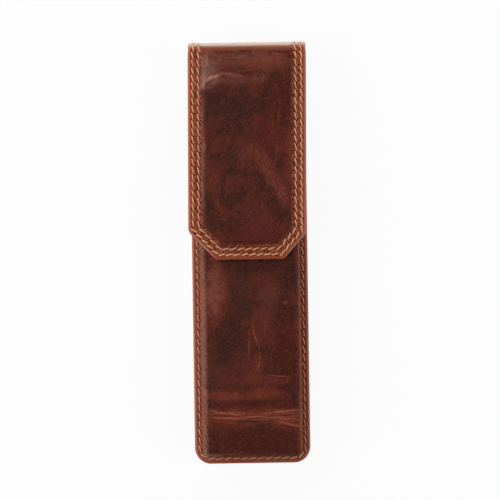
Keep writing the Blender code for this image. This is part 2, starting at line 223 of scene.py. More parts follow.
def roundCorners(corners, radius, steps=8):
    points = [corners[0]]
    for before, corner, after in zip(corners, corners[1:], corners[2:]):
        back = (before - corner).normalized()
        ahead = (after - corner).normalized()
        halfAngle = back.angle(ahead) / 2
        centre = corner + (back + ahead).normalized() * radius / math.sin(halfAngle)
        first = corner + back * radius / math.tan(halfAngle) - centre
        start = math.atan2(first.y, first.x)
        for step in range(steps + 1):
            angle = start + (math.pi - 2 * halfAngle) * step / steps
            points.append(centre + Vector((math.cos(angle), math.sin(angle))) * radius)
    return points + [corners[-1]]


def pocketDistance(places):
    # distance in from the pocket's outline, whose lower corners are round
    radius = pocket["cornerRadius"]
    side = half - np.abs(places[:, 0] - middle)
    low = places[:, 1] - bottom
    corner = radius - np.hypot(np.maximum(radius - side, 0), np.maximum(radius - low, 0))
    found = np.where((side < radius) & (low < radius), corner, np.minimum(side, low))
    return np.maximum(found, 0)


def cornerDistance(places, corners, blend):
    # distance in from straight sides, with each corner of the contours rounded by the blend
    found = None
    for start, end in zip(corners, corners[1:]):
        along = (end - start).normalized()
        side = (places[:, 1] - start.y) * along.x - (places[:, 0] - start.x) * along.y
        if found is None:
            found = side
            continue
        close = np.maximum(1 - np.abs(found - side) / blend, 0)
        found = np.minimum(found, side) - blend / 4 * close * close
    return np.maximum(found, 0)


def runAlong(places, path):
    # how far along a path each place lies
    best = np.full(len(places), 1e9)
    run = np.zeros(len(places))
    passed = 0.0
    for start, end in zip(path, path[1:]):
        length = (end - start).length
        if length < 1e-9:
            continue
        along = (end - start) / length
        dx = places[:, 0] - start.x
        dy = places[:, 1] - start.y
        share = np.clip(dx * along.x + dy * along.y, 0, length)
        away = np.hypot(dx - along.x * share, dy - along.y * share)
        closer = away < best
        best[closer] = away[closer]
        run[closer] = passed + share[closer]
        passed += length
    return run


# Heights across a sheet, from the distance to its edge

def edgeRound(distance, radius):
    short = np.clip(radius - distance, 0, radius)
    return np.sqrt(radius * radius - short * short) - radius


def channel(distance, centre, width, depth):
    return -depth * np.exp(-(((distance - centre) / width) ** 2))


def roundRings(radius, steps=5):
    return [radius * (1 - math.cos(math.pi / 2 * step / steps)) for step in range(1, steps + 1)]


def ringsBeside(margin, reach, steps=2):
    # rings on both sides of a row of stitches
    return [margin + reach * step / steps for step in range(-steps, steps + 1)]


# Folding: a flat place goes round the top, and the flap is cut a little out of square

def foldFront(places, spec):
    x, along, height = places.T
    turned = np.exp(-(((along - foldY - halfTurn / 2) / (2.4 * mm)) ** 2))
    x = x - spec.get("nip", 0) * turned * (x - middle) / half
    skewShare = np.clip((foldY - along) / (foldY - flapLow.y), 0, None)
    x = x - spec.get("skew", 0) * skewShare
    beyond = np.clip(along - spec["foldY"], 0, None)
    angle = np.clip(beyond / spec["radius"], 0, math.pi / 2)
    down = np.clip(beyond - spec["radius"] * math.pi / 2, 0, None)
    reach = spec["radius"] + height
    y = np.minimum(along, spec["foldY"]) + reach * np.sin(angle)
    z = spec["top"] - spec["radius"] + reach * np.cos(angle) - down
    return np.stack([x, y, z], axis=1)


def foldBack(places, spec):
    # the same the other way up, with its outer face below
    folded = foldFront(places, {**spec, "top": 0})
    folded[:, 2] = spec["top"] - folded[:, 2]
    return folded


# The sheets

pocket = {
    "cornerRadius": 6.5 * mm,
    "edgeRadius": 1.0 * mm,
    "flangeTop": 2.9 * mm,
    "flangeLow": 1.32 * mm,
    "filletStart": 2.4 * mm,
    "wallFoot": 3.4 * mm,
    "shoulderFoot": 4.0 * mm,
    "shoulder": 2.2 * mm,
    "inner": 4.75 * mm,
    "innerTop": 5.45 * mm,
    "seam": 2.1 * mm,
    "groove": (0.5 * mm, 0.14 * mm),
    "pucker": 0.08 * mm,
    "swell": 0.07 * mm,
    "sink": 0.10 * mm,
    "plumpOver": 6 * mm,
    "scoopHalf": 12 * mm,
    "scoopDepth": 6 * mm,
    "scoopReach": 14 * mm,
    "grid": 0.75 * mm,
    "creased": (-67.5 * mm, -61 * mm),
    "creaseGrid": 0.35 * mm,
}

strip = {
    "leather": 1.3 * mm,
    "rim": 1.55 * mm,
    "edgeRadius": 1.0 * mm,
    "seams": (1.9 * mm, 4.1 * mm),
    "seamCorner": 1.6 * mm,
    "fieldFoot": 5.0 * mm,
    "fieldSlope": 2.2 * mm,
    "recess": 6.8 * mm,
    "recessSlope": 0.05 * mm,
    "recessEnd": 5.9 * mm,
    "fieldRise": 1.1 * mm,
    "fieldFade": 7 * mm,
    "groove": (0.45 * mm, 0.13 * mm),
    "backGroove": (0.42 * mm, 0.42 * mm),
    "pucker": 0.13 * mm,
    "swell": 0.06 * mm,
    "backSwell": 0.05 * mm,
    "leftChamfer": (10.7 * mm, 11.0 * mm),
    "rightChamfer": (8.7 * mm, 10.2 * mm),
    "cornerRound": (3.0 * mm, 0.9 * mm),
    "cornerBlend": 0.9 * mm,
    "skew": 0.9 * mm,
    "nip": 0.4 * mm,
    "bendPast": 1.5 * mm,
    "parting": 3.4 * mm,
    "grid": 0.65 * mm,
    "backGrid": 1.2 * mm,
    "turnGrid": 0.4 * mm,
}

backFold = {"top": 0, "radius": foldRadius, "foldY": foldY}
frontFold = {**backFold, "top": flapTop, "skew": strip["skew"], "nip": strip["nip"]}
frontEnd = foldY + halfTurn + flapTop - foldRadius - strip["parting"]
backEnd = foldY + halfTurn + strip["parting"] - foldRadius


def flapCorners(top):
    leftRun, leftRise = strip["leftChamfer"]
    rightRun, rightRise = strip["rightChamfer"]
    low = flapLow.y
    places = [
        (left, top), (left, low + leftRise), (left + leftRun, low),
        (right - rightRun, low), (right, low + rightRise), (right, top),
    ]
    return [Vector(place) for place in places]


def pocketSheet(name, end, thickness, topRings, bottomRings):
    # a sheet with the pocket's outline, open at its upper end, with rings on both faces
    obj = addBlock(name, (left, bottom, -thickness), (right, end + spare, 0))
    edit(obj)
    roundUpright(obj, pocket["cornerRadius"], 14, lambda a, b: max(a.y, b.y) < bottom + mm)
    for rings, up in ((topRings, 1), (bottomRings, -1)):
        if rings:
            pickFaces(obj, up)
            insetTo(rings)
    cut((0, end, 0), (0, 1, 0), clear=True)
    return obj


def topShare(places, thickness):
    # 1 on the sheet's outer face, 0 on its inner one
    return np.clip(places[:, 2] / thickness + 1, 0, 1)


def puckers(run, distance, row, depth):
    # the thread draws the leather down at every needle hole
    pull = np.maximum(np.cos(2 * math.pi * run), 0) ** 2
    return -depth * pull * np.exp(-(((distance - row) / (0.65 * mm)) ** 2))


def seamPath(corners, margin, radius):
    return roundCorners(insetCorners(corners, margin), radius)


def pocketRow(top):
    corners = [Vector(place) for place in ((left, top), (left, bottom), (right, bottom), (right, top))]
    return seamPath(corners, pocket["seam"], pocket["cornerRadius"] - pocket["seam"])


def pathLength(path):
    return sum((end - start).length for start, end in zip(path, path[1:]))


def finishLeather(obj, flat, distance, runs, share):
    # what the leather's finish reads at each point; a run is counted in stitches
    for name, values in (("flat", flat), ("edge", distance), ("runOuter", runs[0]), ("runInner", runs[-1])):
        mark(obj, name, values)
    mark(obj, "face", share)
    shadeSoft(obj)


stitch = {
    "length": 3.0 * mm,
    "radius": 0.27 * mm,
    "flatness": 0.9,
    "taper": 0.35,
    "cuts": (-0.86, -0.68, -0.4, 0, 0.4, 0.68, 0.86),
    "crown": 0.10 * mm,
    "dip": 0.297 * mm,
    "proud": 0.02 * mm,
    "sunk": 0.20 * mm,
    "backSunk": 0.40 * mm,
    "swing": 3.5,
    "sides": 8,
    "flap": {"slant": 15, "grow": 1.03, "pitch": 2.95 * mm},
    "body": {"slant": 14, "grow": 1.0, "pitch": 3.26 * mm},
}


def stitchCount(path, spec):
    return round(pathLength(path) / spec["pitch"])


def rowPitch(path, spec):
    return pathLength(path) / stitchCount(path, spec)


# Moulded front

bodyRow = pocketRow(mouth - pocket["seam"])

# bundles of fine folds in the moulded front: each one's middle, half length and half width, and the
# gap and depth of its folds, in millimetres
creases = {
    "low": {"place": (0, -64.3), "reach": (26, 3.4), "gap": 1.75, "depth": 0.13},
    "mid": {"place": (3, -48.3), "reach": (14, 1.2), "gap": 2.1, "depth": 0.07},
}


def creaseHeight(places):
    total = np.zeros(len(places))
    wave = 1.1 * mm * noiseAt(places, 9 * mm, 14 * mm, 3.1) + 0.5 * mm * noiseAt(places, 3 * mm, 9 * mm, 8.2)
    for spec in creases.values():
        x = (places[:, 0] - middle) / mm - spec["place"][0]
        y = (places[:, 1] + wave) / mm - spec["place"][1]
        window = np.exp(-((x / spec["reach"][0]) ** 2) - (y / spec["reach"][1]) ** 2)
        ridge = np.abs(np.sin(math.pi * y / spec["gap"]))
        total -= spec["depth"] * mm * window * (1 - ridge) ** 2
    return total


filletRun = pocket["wallFoot"] - pocket["filletStart"]
wallRun = pocket["shoulderFoot"] - pocket["wallFoot"]
plateauStart = pocket["shoulderFoot"] + pocket["shoulder"]


def trayHeight(distance):
    # a flat flange, a fillet, a leaning wall and a round shoulder up to the plateau
    height = edgeRound(distance, pocket["edgeRadius"])
    height += channel(distance, pocket["seam"], *pocket["groove"])
    into = np.clip(distance - pocket["filletStart"], 0, filletRun)
    height += filletRun - np.sqrt(filletRun * filletRun - into * into)
    rise = trayHigh.z - pocket["flangeTop"] - pocket["shoulder"] - filletRun
    height += np.clip((distance - pocket["wallFoot"]) / wallRun, 0, 1) * rise
    short = np.clip(plateauStart - distance, 0, pocket["shoulder"])
    over = np.sqrt(pocket["shoulder"] ** 2 - short * short)
    return height + np.where(distance > pocket["shoulderFoot"], over, 0)


def makeTray():
    thickness = pocket["flangeTop"] - pocket["flangeLow"]
    rings = roundRings(pocket["edgeRadius"]) + ringsBeside(pocket["seam"], 0.5 * mm)
    rings += [pocket["filletStart"] + filletRun * math.sin(math.pi / 2 * s / 5) for s in range(6)]
    rings += [pocket["wallFoot"] + wallRun * s / 16 for s in range(1, 17)]
    rings += [plateauStart - pocket["shoulder"] * math.cos(math.pi / 2 * s / 7) for s in range(1, 8)]
    innerSlope = pocket["innerTop"] - pocket["inner"]
    inner = [pocket["inner"], pocket["inner"] + 0.02 * mm]
    inner += [pocket["inner"] + innerSlope * s / 4 for s in range(1, 5)]
    obj = pocketSheet("moulded_front_leather", mouth, thickness, rings, inner)
    lengths = evenly(bottom, mouth, pocket["grid"]) + evenly(*pocket["creased"], pocket["creaseGrid"])
    places = cutGrid(obj, evenly(left, right, pocket["grid"]), lengths)

    flat = places.copy()
    distance = pocketDistance(places)
    run = runAlong(places, bodyRow) / rowPitch(bodyRow, stitch["body"])
    share = topShare(places, thickness)
    plump = smoothStep((distance - plateauStart) / pocket["plumpOver"])
    top = trayHeight(distance) + creaseHeight(places) * smoothStep((distance - 4 * mm) / (2 * mm))
    top += puckers(run, distance, pocket["seam"], pocket["pucker"])
    swell = noiseAt(places, 17 * mm, 26 * mm, 1.7) + 0.5 * noiseAt(places, 6 * mm, 8 * mm, 5.3)
    top += pocket["swell"] * swell * smoothStep((distance - 1.5 * mm) / (3 * mm))
    top -= pocket["sink"] * (1 - plump)
    hollow = trayHigh.z - strip["leather"] - pocket["flangeLow"]
    under = smoothStep((distance - pocket["inner"]) / innerSlope) * hollow - thickness
    places[:, 2] = pocket["flangeTop"] + share * top + (1 - share) * under

    # the thumb scoop
    across = np.clip(np.abs(places[:, 0] - middle) / pocket["scoopHalf"], 0, 1)
    near = smoothStep(1 - (mouth - places[:, 1]) / pocket["scoopReach"])
    places[:, 1] -= pocket["scoopDepth"] * (1 + np.cos(math.pi * across)) / 2 * near
    writePlaces(obj, places)
    flat[:, 2] = places[:, 2] - trayHigh.z
    finishLeather(obj, flat, distance, [run], share)
    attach(obj, "case")
    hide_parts("front_leather")
    return obj


# Strip: the flap's half with the spine, and the back's half

flapRows = [seamPath(flapCorners(frontEnd), margin, strip["seamCorner"]) for margin in strip["seams"]]


def chainBevel(obj, corners, number, radius):
    # rounds one corner of every ring at once, along the mitre line from it
    corner = corners[number]
    back = (corners[number - 1] - corner).normalized()
    ahead = (corners[number + 1] - corner).normalized()
    inward = (back + ahead).normalized()
    offset = radius * math.cos(back.angle(ahead) / 2)

    def onMitre(*ends):
        return all(abs((end.xy - corner).cross(inward)) < 0.005 * mm for end in ends)

    pickEdges(obj, onMitre)
    bpy.ops.mesh.bevel(offset=offset, segments=6, affect="EDGES", clamp_overlap=False)


def makeFlapStrip():
    rings = roundRings(strip["edgeRadius"])
    for margin in strip["seams"]:
        rings += ringsBeside(margin, 0.5 * mm)
    rings += [strip["fieldFoot"] + strip["fieldSlope"] * s / 7 for s in range(8)]
    obj = addBlock("flap_strip_leather", (left, flapLow.y, -strip["rim"]), (right, frontEnd + spare, 0))
    edit(obj)
    corners = flapCorners(frontEnd + spare)
    cutCorners(corners)
    pickFaces(obj, 1)
    insetTo(rings)
    pickFaces(obj, -1)
    insetTo([strip["recess"], strip["recess"] + strip["recessSlope"]])
    highRound, lowRound = strip["cornerRound"]
    for number, radius in ((1, highRound), (2, lowRound), (3, lowRound), (4, highRound)):
        chainBevel(obj, corners, number, radius)
    cut((0, frontEnd, 0), (0, 1, 0), clear=True)
    lengths = evenly(flapLow.y, foldY, strip["grid"]) + cutsInTurn(foldY, halfTurn, strip["turnGrid"])
    lengths += evenly(foldY + halfTurn, frontEnd, strip["grid"])
    places = cutGrid(obj, evenly(left, right, strip["grid"]), lengths)

    flat = places.copy()
    distance = cornerDistance(places, corners, strip["cornerBlend"])
    runs = [runAlong(places, path) / rowPitch(path, stitch["flap"]) for path in flapRows]
    share = topShare(places, strip["rim"])
    fade = smoothStep((foldY - places[:, 1]) / strip["fieldFade"])
    slope = smoothStep((distance - strip["fieldFoot"]) / strip["fieldSlope"])
    top = edgeRound(distance, strip["edgeRadius"]) + strip["fieldRise"] * slope * fade
    for run, margin in zip(runs, strip["seams"]):
        top += channel(distance, margin, *strip["groove"]) + puckers(run, distance, margin, strip["pucker"])
    swell = noiseAt(places, 15 * mm, 24 * mm, 11.7) + 0.5 * noiseAt(places, 5 * mm, 8 * mm, 15.3)
    onFlap = smoothStep((foldY - places[:, 1]) / (5 * mm))
    top += strip["swell"] * swell * smoothStep((distance - 1.2 * mm) / (3 * mm)) * onFlap
    recessed = smoothStep((distance - strip["recess"]) / strip["recessSlope"])
    recessed *= places[:, 1] < foldY - strip["recessEnd"]
    under = -strip["rim"] + recessed * (strip["fieldRise"] + strip["rim"] - strip["leather"])
    places[:, 2] = share * top + (1 - share) * under
    writePlaces(obj, foldFront(places, frontFold))
    finishLeather(obj, flat, distance, runs, share)
    bendFront(obj)
    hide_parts("flap_leather", "spine_leather")
    return obj


def bendFront(obj):
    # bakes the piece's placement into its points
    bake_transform(obj)


def bendBack(obj):
    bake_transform(obj)


backRow = pocketRow(backEnd)


def makeBackStrip():
    rings = roundRings(strip["edgeRadius"]) + ringsBeside(pocket["seam"], 0.6 * mm, 3)
    obj = pocketSheet("back_strip_leather", backEnd, strip["leather"], rings, [])
    lengths = evenly(bottom, foldY, strip["backGrid"]) + cutsInTurn(foldY, halfTurn, strip["turnGrid"])
    places = cutGrid(obj, evenly(left, right, strip["backGrid"]), lengths)

    flat = places.copy()
    distance = pocketDistance(places)
    run = runAlong(places, backRow) / rowPitch(backRow, stitch["body"])
    share = topShare(places, strip["leather"])
    onBack = smoothStep((foldY - places[:, 1]) / (3 * mm))
    top = edgeRound(distance, strip["edgeRadius"])
    top += channel(distance, pocket["seam"], *strip["backGroove"]) * onBack
    swell = np.minimum(noiseAt(places, 20 * mm, 30 * mm, 21.7), 0)
    top += strip["backSwell"] * swell * smoothStep((distance - 3 * mm) / (4 * mm)) * onBack
    places[:, 2] = share * top - (1 - share) * strip["leather"]
    writePlaces(obj, foldBack(places, backFold))
    flip(obj)
    finishLeather(obj, flat, distance, [run], share)
    bendBack(obj)
    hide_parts("back_leather", "spine_leather")
    return obj


def flip(obj):
    # the back is folded as a mirror image of the flap, which turns its faces inwards
    edit(obj)
    bpy.ops.mesh.select_all(action="SELECT")
    bpy.ops.mesh.flip_normals()
    bpy.ops.object.mode_set(mode="OBJECT")


# Linings, each with a small turn inside the fold

lining = {
    "thickness": 0.6 * mm,
    "turnRadius": 0.9 * mm,
    "edgeRadius": 0.25 * mm,
    "trim": 0.45 * mm,
    "flapCorner": 0.8 * mm,
    "backCorner": 1.5 * mm,
    "grid": 1.5 * mm,
    "turnGrid": 0.25 * mm,
    "mouthGrid": 0.35 * mm,
    "boardHalf": 17.95 * mm,
    "ramp": 1.6 * mm,
    "widens": (0.3 * mm, 1.7 * mm),
    "parting": 1.0 * mm,
    "glue": 0.02 * mm,
    "arch": 0.36 * mm,
    "swell": 0.03 * mm,
}
liningFoldY = spineLiningHigh.y - lining["turnRadius"]
liningTurn = math.pi / 2 * lining["turnRadius"]
liningSpine = flapLiningTop - backLiningLow.z - 2 * lining["turnRadius"]
frontLiningEnd = liningFoldY + liningTurn + liningSpine - lining["parting"]
backLiningEnd = liningFoldY + liningTurn + lining["parting"]
liningBack = {"top": backLiningLow.z, "radius": lining["turnRadius"], "foldY": liningFoldY}
liningFront = {**liningBack, "top": flapLiningTop, "skew": strip["skew"]}
spineGap = spineHigh.y - strip["rim"] - spineLiningHigh.y - lining["glue"]


def besideBoard(places):
    # 0 over the boards, 1 by the sides, where the lining is glued down on the leather
    return smoothStep((np.abs(places[:, 0] - middle) - lining["boardHalf"]) / lining["ramp"])


def turnShare(places):
    return np.clip((places[:, 1] - liningFoldY) / liningTurn, 0, 1)


def frontDrop(places):
    return besideBoard(places) * spineGap * turnShare(places) ** 1.5


def backDrop(places):
    turn = turnShare(places)
    flatGap = backLiningLow.z - strip["leather"] - lining["glue"]
    gap = flatGap + (spineGap - flatGap) * turn + lining["arch"] * np.sin(math.pi * turn)
    return besideBoard(places) * gap * outsideMouth(places)


def outsideMouth(places):
    start, end = lining["widens"]
    return smoothStep((places[:, 1] - mouth - start) / (end - start))


def makeLining(name, corners, rounding, fold, spec, drop, narrow=1.0):
    end = corners[0].y
    low = min(place.y for place in corners)
    start, finish = corners[0].x, corners[-1].x
    obj = addBlock(name, (start, low, -lining["thickness"]), (finish, end + spare, 0))
    edit(obj)
    cutCorners(corners)
    roundUpright(obj, rounding, 5, lambda a, b: max(a.y, b.y) < end)
    pickFaces(obj, -1)
    insetTo(roundRings(lining["edgeRadius"], 3))
    cut((0, end, 0), (0, 1, 0), clear=True)
    lengths = evenly(low, liningFoldY, lining["grid"])
    lengths += cutsInTurn(liningFoldY, liningTurn, lining["turnGrid"])
    lengths += evenly(liningFoldY + liningTurn, end, lining["grid"])
    lengths += evenly(mouth, mouth + 2 * mm, lining["mouthGrid"])
    ramps = [lining["boardHalf"] + lining["ramp"] * step / 5 for step in range(6)]
    widths = [middle + side * at for at in ramps for side in (-1, 1)]
    places = cutGrid(obj, evenly(start, finish, lining["grid"]) + widths, lengths)

    distance = cornerDistance(places, corners, 0.3 * mm)
    places[:, 0] = middle + (places[:, 0] - middle) * (narrow + (1 - narrow) * outsideMouth(places))
    flat = places.copy()
    share = topShare(places, lining["thickness"])
    under = -lining["thickness"] - edgeRound(distance, lining["edgeRadius"])
    swell = noiseAt(places, 9 * mm, 12 * mm, 31.7)
    under -= lining["swell"] * swell * smoothStep((distance - 2 * mm) / (3 * mm))
    places[:, 2] = drop(places) + (1 - share) * under
    writePlaces(obj, fold(places, spec))
    mark(obj, "flat", flat)
    shadeSoft(obj)
    return obj


def makeLinings():
    corners = insetCorners(flapCorners(frontLiningEnd), lining["trim"])
    front = makeLining("flap_strip_lining", corners, lining["flapCorner"], foldFront, liningFront, frontDrop)
    bendFront(front)
    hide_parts("flap_lining", "spine_lining")

    # the back's lining is narrow in the pocket and as wide as the strip above its mouth
    start, end, low = spineLiningLow.x, spineLiningHigh.x, backLiningLow.y
    narrow = (backLiningHigh.x - backLiningLow.x) / (end - start)
    places = ((start, backLiningEnd), (start, low), (end, low), (end, backLiningEnd))
    corners = [Vector(place) for place in places]
    back = makeLining(
        "back_strip_lining", corners, lining["backCorner"], foldBack, liningBack, backDrop, narrow,
    )
    flip(back)
    bendBack(back)
    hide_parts("back_lining", "spine_lining")
    return [front, back]


# Stitches: one is modelled, and every other is a copy of it

def makeStitch():
    # a short thread that runs up out of one needle hole, over, and down into the next
    deselect()
    bpy.ops.mesh.primitive_cylinder_add(
        vertices=stitch["sides"], radius=stitch["radius"], depth=stitch["length"], end_fill_type="TRIFAN",
        rotation=(0, math.pi / 2, 0),
    )
    obj = bpy.context.object
    obj.name = "stitch"
    settle(obj)
    edit(obj)
    reach = stitch["length"] / 2
    for share in stitch["cuts"]:
        cut((reach * share, 0, 0), (1, 0, 0))
    bpy.ops.object.mode_set(mode="OBJECT")
    places = readPlaces(obj)
    share = np.abs(places[:, 0]) / reach
    slim = 1 - stitch["taper"] * smoothStep((share - 0.6) / 0.4)
    dip = stitch["dip"] * smoothStep((share - 0.62) / 0.38)
    places[:, 1] *= slim
    places[:, 2] *= slim * stitch["flatness"]
    places[:, 2] += stitch["crown"] * (1 - share ** 2) - dip
    writePlaces(obj, places)
    shadeSoft(obj, 60)
    return obj


def sewRow(name, master, path, place, spec, height=stitch["proud"], upward=True, first=0):
    # each stitch is laid out on the flat sheet, then bent with the leather
    pitch = rowPitch(path, spec)
    shape = readPlaces(master)
    copies = []
    for number in range(first, stitchCount(path, spec) - first):
        at = (number + 0.5) * pitch
        spot, ahead = pointOn(path, at), pointOn(path, at + 0.2 * mm)
        tangent = (ahead - spot).normalized()
        turn = math.radians(spec["slant"] + random.uniform(-1, 1) * stitch["swing"])
        cosine, sine = math.cos(turn), math.sin(turn)
        lead = (tangent.x * cosine - tangent.y * sine, tangent.x * sine + tangent.y * cosine)
        along = shape[:, 0] * spec["grow"] * random.uniform(0.95, 1.04)
        flat = np.stack([
            spot.x + lead[0] * along - lead[1] * shape[:, 1],
            spot.y + lead[1] * along + lead[0] * shape[:, 1],
            height + (shape[:, 2] if upward else -shape[:, 2]),
        ], axis=1)
        copy = master.copy()
        copy.data = master.data.copy()
        bpy.context.scene.collection.objects.link(copy)
        writePlaces(copy, place(flat))
        copies.append(copy)
    only(*copies)
    bpy.ops.object.join()
    obj = bpy.context.object
    obj.name = obj.data.name = name
    return obj


def pointOn(path, at):
    for start, end in zip(path, path[1:]):
        length = (end - start).length
        if at <= length:
            return start.lerp(end, at / length) if length else start
        at -= length
    return path[-1] + (path[-1] - path[-2]).normalized() * at


def makeSeams():
    master = makeStitch()
    body, flap = stitch["body"], stitch["flap"]

    def onTray(flat):
        return flat + np.array([0, 0, pocket["flangeTop"]])

    def onFlap(flat):
        # the thread is pulled down where it turns over the fold
        turned = np.exp(-(((flat[:, 1] - foldY - halfTurn / 2) / (2.8 * mm)) ** 2))
        return foldFront(flat - np.outer(turned, (0, 0, stitch["sunk"])), frontFold)

    def onBack(flat):
        return foldBack(flat, backFold)

    around = sewRow("body_stitches", master, bodyRow, onTray, body)
    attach(around, "case")
    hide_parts("body_seam_thread")
    outer = sewRow("flap_outer_stitches", master, flapRows[0], onFlap, flap)
    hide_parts("flap_outer_thread", "spine_left_outer_thread", "spine_right_outer_thread")
    inner = sewRow("flap_inner_stitches", master, flapRows[1], onFlap, flap)
    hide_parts("flap_inner_thread", "spine_left_inner_thread", "spine_right_inner_thread")
    bendFront(outer)
    bendFront(inner)

    # the same seams show on the other side of the leather
    back = sewRow("back_stitches", master, backRow, onBack, body, -stitch["backSunk"], first=2)
    flip(back)
    bendBack(back)
    made = [around, back, outer, inner]
    under = strip["rim"] + lining["thickness"] + 0.2 * mm
    for name, row in zip(("flap_outer_under_stitches", "flap_inner_under_stitches"), flapRows):
        skip = math.ceil((frontEnd - foldY + 2 * mm) / rowPitch(row, flap))
        hidden = sewRow(name, master, row, onFlap, flap, -under, False, skip)
        flip(hidden)
        bendFront(hidden)
        made.append(hidden)
    bpy.data.objects.remove(master)
    return made


# Shader maths

class Signal:
    # wraps a socket, so that sums of values are written as sums
    def __init__(self, paint, socket):
        self.paint = paint
        self.socket = socket

    def maths(self, operation, *others):
        return self.paint.maths(operation, self, *others)

    def __add__(self, other):
        return self.maths("ADD", other)

    __radd__ = __add__

    def __sub__(self, other):
        return self.maths("SUBTRACT", other)

    def __rsub__(self, other):
        return self.paint.maths("SUBTRACT", other, self)

    def __mul__(self, other):
        return self.maths("MULTIPLY", other)

    __rmul__ = __mul__

    def __truediv__(self, other):
        return self.maths("DIVIDE", other)

    def __pow__(self, other):
        return self.maths("POWER", other)

    def __abs__(self):
        return self.maths("ABSOLUTE")


class Paint:
    # the nodes of a material, or of the world
    def __init__(self, owner, shader="Principled BSDF"):
        owner.use_nodes = True
        self.owner = owner
        self.tree = owner.node_tree
        self.shader = self.tree.nodes[shader]

    def add(self, kind, settings=None, values=None, output=0):
        node = self.tree.nodes.new(kind)
        for name, value in (settings or {}).items():
            if name == "stops":
                self.setStops(node.color_ramp, value)
            else:
                setattr(node, name, value)
        for key, value in (values or {}).items():
            self.feed(node.inputs[key], value)
        return Signal(self, node.outputs[output])

    def setStops(self, ramp, stops):
        while len(ramp.elements) < len(stops):
            ramp.elements.new(0.5)
        for element, (place, colour) in zip(ramp.elements, stops):
            element.position = place
            element.color = (*colour, 1)

    def feed(self, socket, value):
        if isinstance(value, Signal):
            self.tree.links.new(value.socket, socket)
        elif socket.type == "RGBA" and len(value) == 3:
            socket.default_value = (*value, 1)
        else:
            socket.default_value = value

    def set(self, **values):
        for name, value in values.items():
            self.feed(self.shader.inputs[name.replace("_", " ")], value)

    def maths(self, operation, *values):
        return self.add("ShaderNodeMath", {"operation": operation}, dict(enumerate(values)))

    def vectorMaths(self, operation, first, second):
        values = {0: first, "Scale" if operation == "SCALE" else 1: second}
        return self.add("ShaderNodeVectorMath", {"operation": operation}, values)

    def part(self, vector, number):
        return self.add("ShaderNodeSeparateXYZ", {}, {0: vector}, output=number)

    def objectPlace(self):
        return self.add("ShaderNodeTexCoord", output=3)

    def attribute(self, name, output=2):
        return self.add("ShaderNodeAttribute", {"attribute_name": name}, output=output)

    def noise(self, vector, scale, detail=3, roughness=0.55, twist=0.0):
        values = {"Vector": vector, "Scale": scale, "Detail": detail, "Roughness": roughness}
        return self.add("ShaderNodeTexNoise", {}, {**values, "Distortion": twist})

    def step(self, value, start, end, low=0.0, high=1.0):
        settings = {"interpolation_type": "SMOOTHSTEP"}
        values = {"Value": value, 1: start, 2: end, 3: low, 4: high}
        return self.add("ShaderNodeMapRange", settings, values)

    def fall(self, value, start, end):
        return self.step(value, start, end, 1, 0)

    def mix(self, factor, first, second):
        settings = {"data_type": "RGBA", "clamp_factor": True}
        return self.add("ShaderNodeMix", settings, {0: factor, 6: first, 7: second}, output=2)

    def stretch(self, vector, scale, turn=0.0):
        if turn:
            values = {"Vector": vector, "Angle": math.radians(turn)}
            vector = self.add("ShaderNodeVectorRotate", {"rotation_type": "Z_AXIS"}, values)
        return self.vectorMaths("MULTIPLY", vector, scale)

    def bump(self, height, distance, strength=1.0, normal=None):
        values = {"Height": height, "Distance": distance, "Strength": strength}
        if normal:
            values["Normal"] = normal
        return self.add("ShaderNodeBump", {}, values)


# Finishes

def newPaint(name):
    return Paint(bpy.data.materials.new(name))


tones = {
    "dark": (0.027, 0.0085, 0.0058),
    "body": (0.088, 0.0165, 0.0100),
    "smoky": (0.046, 0.0165, 0.0125),
    "burgundy": (0.082, 0.0105, 0.0070),
    "wine": (0.050, 0.0060, 0.0042),
    "red": (0.165, 0.031, 0.015),
    "rust": (0.215, 0.064, 0.042),
    "rose": (0.270, 0.080, 0.052),
    "orange": (0.250, 0.072, 0.036),
    # crumple and drawn: the painted highlight on the crests of the ripples beside the thread
    "crumple": (0.330, 0.100, 0.052),
    "drawn": (0.380, 0.130, 0.078),
    "russet": (0.300, 0.076, 0.037),
    "cognac": (0.315, 0.062, 0.020),
    # pale: used mostly for painted highlights and sheen on the flap, and for the shoulder band, partly paler
    # stretched leather and partly a painted highlight
    "pale": (0.290, 0.140, 0.098),
    # tan: the bare band at the fold, partly worn leather and partly a painted sheen
    "tan": (0.530, 0.420, 0.345),
    "rawEdgeAndHighlight": (0.420, 0.195, 0.150),
    "hole": (0.125, 0.028, 0.010),
    # bloom: the pale pinkish tone of the painted sheen and highlights at the flap's upper left
    "bloom": (0.430, 0.225, 0.165),
    "crease": (0.345, 0.098, 0.052),
    "flesh": (0.20, 0.075, 0.035),
}


# Marks on the pulled-up leather, in millimetres on the flat sheet. Each is a tone, its place across and
# along, its reach both ways, its turn in degrees and its strength. Strokes and ridges add the scale of
# their grain both ways and how far they lift, and a strand adds its lift and its bow.
def cloud(tone, x, y, length, width, turn, strength):
    return {
        "grain": "cloud", "tone": tone, "place": (x, y, 0), "reach": (length, width), "turn": turn,
        "strength": strength, "lift": 0, "bow": 0,
    }


def strokes(*values, grain="strokes"):
    return {**cloud(*values[:7]), "grain": grain, "turns": (*values[7:9], 1), "lift": values[9]}


def ridges(*values):
    return strokes(*values, grain="ridges")


def strand(tone, x, y, length, width, turn, strength, lift=0, bow=0):
    return {**cloud(tone, x, y, length, width, turn, strength), "grain": "strand", "lift": lift, "bow": bow}


